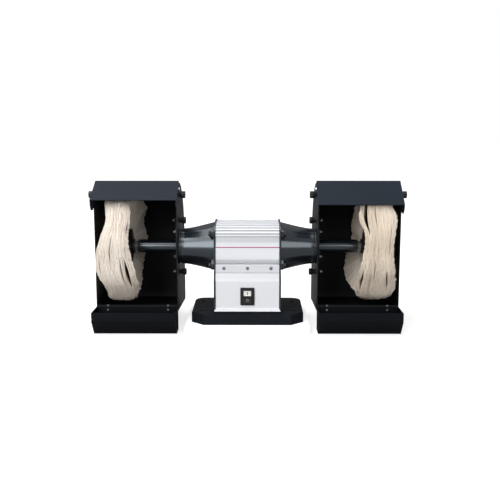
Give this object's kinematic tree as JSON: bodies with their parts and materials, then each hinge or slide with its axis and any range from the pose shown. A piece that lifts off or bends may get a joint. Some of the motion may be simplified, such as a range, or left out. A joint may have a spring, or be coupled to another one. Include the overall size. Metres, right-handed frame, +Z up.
{
  "type": "double-ended polishing machine",
  "caption": "Double-ended polishing machine: finned motor on a cast base, end cones, long spindle with hooded cotton buffs, tilting visors and dust trays.",
  "frame": {"origin": "middle of the underside of the base, on the face that is bolted down", "axes": "+X along the spindle to the operator's right, +Y to the back, +Z up"},
  "size_m": [0.8526, 0.3147, 0.3985],
  "materials": {
    "base_black": "satin",
    "gloss_black": "gloss",
    "sheet_black": "satin",
    "visor_grey": "satin",
    "housing_silver": "satin",
    "cover_silver": "satin",
    "steel": "satin",
    "zinc": "satin",
    "copper": "satin",
    "dark_plastic": "satin",
    "knob_black": "satin",
    "button_white": "satin",
    "button_black": "satin",
    "cotton": "matte"
  },
  "bodies": {
    "machine": {"base_casting": "base_black", "base_bottom_plate": "sheet_black", "motor_housing": "housing_silver", "front_cover": "cover_silver", "rear_cover": "cover_silver", "switch_housing": "dark_plastic", "cable_gland": "dark_plastic", "stator_core": "steel", "stator_windings": "copper", "tie_bolt_upper_front": "zinc", "tie_bolt_upper_rear": "zinc", "tie_bolt_lower_rear": "zinc", "tie_bolt_lower_front": "zinc", "left_end_plate": "gloss_black", "left_cone": "gloss_black", "left_bearing": "steel", "left_shaft_tube": "gloss_black", "left_hood_bracket": "sheet_black", "right_end_plate": "gloss_black", "right_cone": "gloss_black", "right_bearing": "steel", "right_shaft_tube": "gloss_black", "right_hood_bracket": "sheet_black"},
    "spindle": {"spindle_shaft": "steel", "rotor_core": "steel", "left_inner_flange": "sheet_black", "left_buff_inner_section": "cotton", "left_buff_outer_section": "cotton", "left_outer_flange": "sheet_black", "left_spindle_nut": "steel", "right_inner_flange": "sheet_black", "right_buff_inner_section": "cotton", "right_buff_outer_section": "cotton", "right_outer_flange": "sheet_black", "right_spindle_nut": "steel"},
    "left_hood": {"left_hood_inner_wall": "sheet_black", "left_hood_outer_wall": "sheet_black", "left_hood_wrapper": "sheet_black", "left_dust_tray": "sheet_black", "left_visor_pivot_inner": "zinc", "left_visor_pivot_outer": "zinc"},
    "left_visor_plate": {"left_visor": "visor_grey"},
    "left_clamp_knob_upper": {"left_hood_clamp_upper": "knob_black"},
    "left_clamp_knob_lower": {"left_hood_clamp_lower": "knob_black"},
    "left_visor_knob_inner_body": {"left_visor_knob_inner": "knob_black"},
    "left_visor_knob_outer_body": {"left_visor_knob_outer": "knob_black"},
    "right_hood": {"right_hood_inner_wall": "sheet_black", "right_hood_outer_wall": "sheet_black", "right_hood_wrapper": "sheet_black", "right_dust_tray": "sheet_black", "right_visor_pivot_inner": "zinc", "right_visor_pivot_outer": "zinc"},
    "right_visor_plate": {"right_visor": "visor_grey"},
    "right_clamp_knob_upper": {"right_hood_clamp_upper": "knob_black"},
    "right_clamp_knob_lower": {"right_hood_clamp_lower": "knob_black"},
    "right_visor_knob_inner_body": {"right_visor_knob_inner": "knob_black"},
    "right_visor_knob_outer_body": {"right_visor_knob_outer": "knob_black"},
    "start_button_body": {"start_button": "button_white"},
    "stop_button_body": {"stop_button": "button_black"}
  },
  "joints": [
    {"name": "spindle_spin", "type": "hinge", "parent": "machine", "child": "spindle", "pos_m": [0, 0, 0.196], "axis": [1, 0, 0], "continuous": true},
    {"name": "left_hood_height", "type": "slide", "parent": "machine", "child": "left_hood", "axis": [0, 0, 1], "range_m": [-0.005, 0.005]},
    {"name": "left_visor_tilt", "type": "hinge", "parent": "left_hood", "child": "left_visor_plate", "pos_m": [-0.2967, -0.022, 0.354], "axis": [1, 0, 0], "range_deg": [-14, 11]},
    {"name": "left_clamp_knob_upper_turn", "type": "hinge", "parent": "machine", "child": "left_clamp_knob_upper", "pos_m": [-0.1864, 0, 0.267], "axis": [1, 0, 0], "range_deg": [0, 360]},
    {"name": "left_clamp_knob_lower_turn", "type": "hinge", "parent": "machine", "child": "left_clamp_knob_lower", "pos_m": [-0.1864, 0, 0.125], "axis": [1, 0, 0], "range_deg": [0, 360]},
    {"name": "left_visor_knob_inner_turn", "type": "hinge", "parent": "left_hood", "child": "left_visor_knob_inner_body", "pos_m": [-0.1841, -0.022, 0.339], "axis": [1, 0, 0], "range_deg": [0, 360]},
    {"name": "left_visor_knob_outer_turn", "type": "hinge", "parent": "left_hood", "child": "left_visor_knob_outer_body", "pos_m": [-0.4093, -0.022, 0.339], "axis": [-1, 0, 0], "range_deg": [0, 360]},
    {"name": "right_hood_height", "type": "slide", "parent": "machine", "child": "right_hood", "axis": [0, 0, 1], "range_m": [-0.005, 0.005]},
    {"name": "right_visor_tilt", "type": "hinge", "parent": "right_hood", "child": "right_visor_plate", "pos_m": [0.2967, -0.022, 0.354], "axis": [1, 0, 0], "range_deg": [-23, 2]},
    {"name": "right_clamp_knob_upper_turn", "type": "hinge", "parent": "machine", "child": "right_clamp_knob_upper", "pos_m": [0.1864, 0, 0.267], "axis": [-1, 0, 0], "range_deg": [0, 360]},
    {"name": "right_clamp_knob_lower_turn", "type": "hinge", "parent": "machine", "child": "right_clamp_knob_lower", "pos_m": [0.1864, 0, 0.125], "axis": [-1, 0, 0], "range_deg": [0, 360]},
    {"name": "right_visor_knob_inner_turn", "type": "hinge", "parent": "right_hood", "child": "right_visor_knob_inner_body", "pos_m": [0.1841, -0.022, 0.339], "axis": [-1, 0, 0], "range_deg": [0, 360]},
    {"name": "right_visor_knob_outer_turn", "type": "hinge", "parent": "right_hood", "child": "right_visor_knob_outer_body", "pos_m": [0.4093, -0.022, 0.339], "axis": [1, 0, 0], "range_deg": [0, 360]},
    {"name": "start_button_press", "type": "slide", "parent": "machine", "child": "start_button_body", "axis": [0, 1, 0], "range_m": [0, 0.003], "stiffness_N_per_m": 400},
    {"name": "stop_button_press", "type": "slide", "parent": "machine", "child": "stop_button_body", "axis": [0, 1, 0], "range_m": [0, 0.003], "stiffness_N_per_m": 400}
  ]
}
